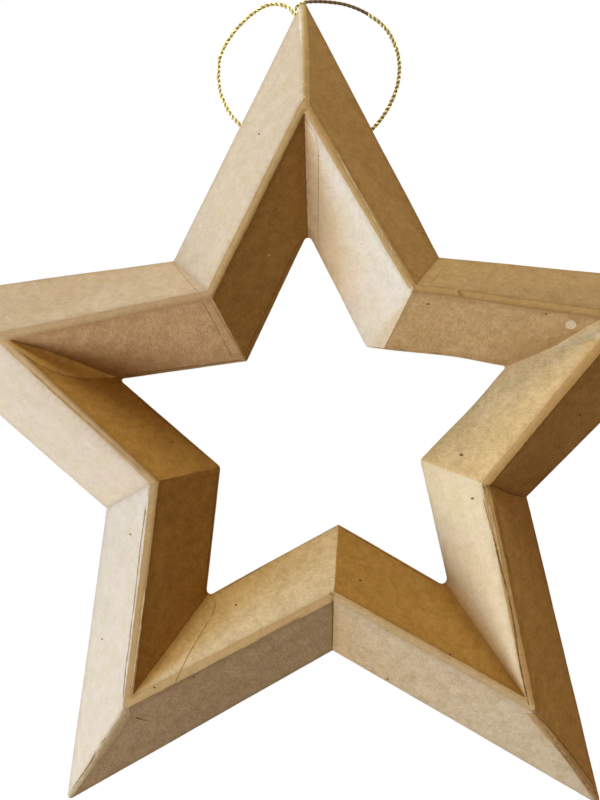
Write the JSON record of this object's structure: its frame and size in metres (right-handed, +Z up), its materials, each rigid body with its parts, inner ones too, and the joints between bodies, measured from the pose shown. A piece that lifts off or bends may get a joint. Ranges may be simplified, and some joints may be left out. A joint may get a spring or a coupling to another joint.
{
  "type": "cardboard hanging star",
  "caption": "Open star of folded kraft card with a ridged, hollow frame, a flat back and a gold cord loop to hang it by.",
  "frame": {"origin": "mouth of the cord's hole on the back of the top point, where the star hangs from its cord", "axes": "+Z up, the ridged front faces -Y, +X to the right as seen from the front"},
  "size_m": [0.2048, 0.0173, 0.1943],
  "materials": {
    "kraft_card": "matt kraft paper facing with fibres and flecks",
    "back_board": "matt kraft board with die-cut edges",
    "kraft_tape": "matt kraft paper tape",
    "gold_cord": "twisted metallic thread over a brown core"
  },
  "bodies": {
    "root": {"back_panel": "back_board", "outer_card_top": "kraft_card", "outer_card_right": "kraft_card", "outer_card_lower_right": "kraft_card", "outer_card_lower_left": "kraft_card", "outer_card_left": "kraft_card", "inner_card_upper_right": "kraft_card", "inner_card_right": "kraft_card", "inner_card_bottom": "kraft_card", "inner_card_left": "kraft_card", "inner_card_upper_left": "kraft_card", "ridge_tape_top": "kraft_tape", "ridge_tape_right": "kraft_tape", "ridge_tape_lower_right": "kraft_tape", "ridge_tape_lower_left": "kraft_tape", "ridge_tape_left": "kraft_tape", "hanging_cord": "gold_cord", "cord_knot": "gold_cord"}
  },
  "joints": []
}
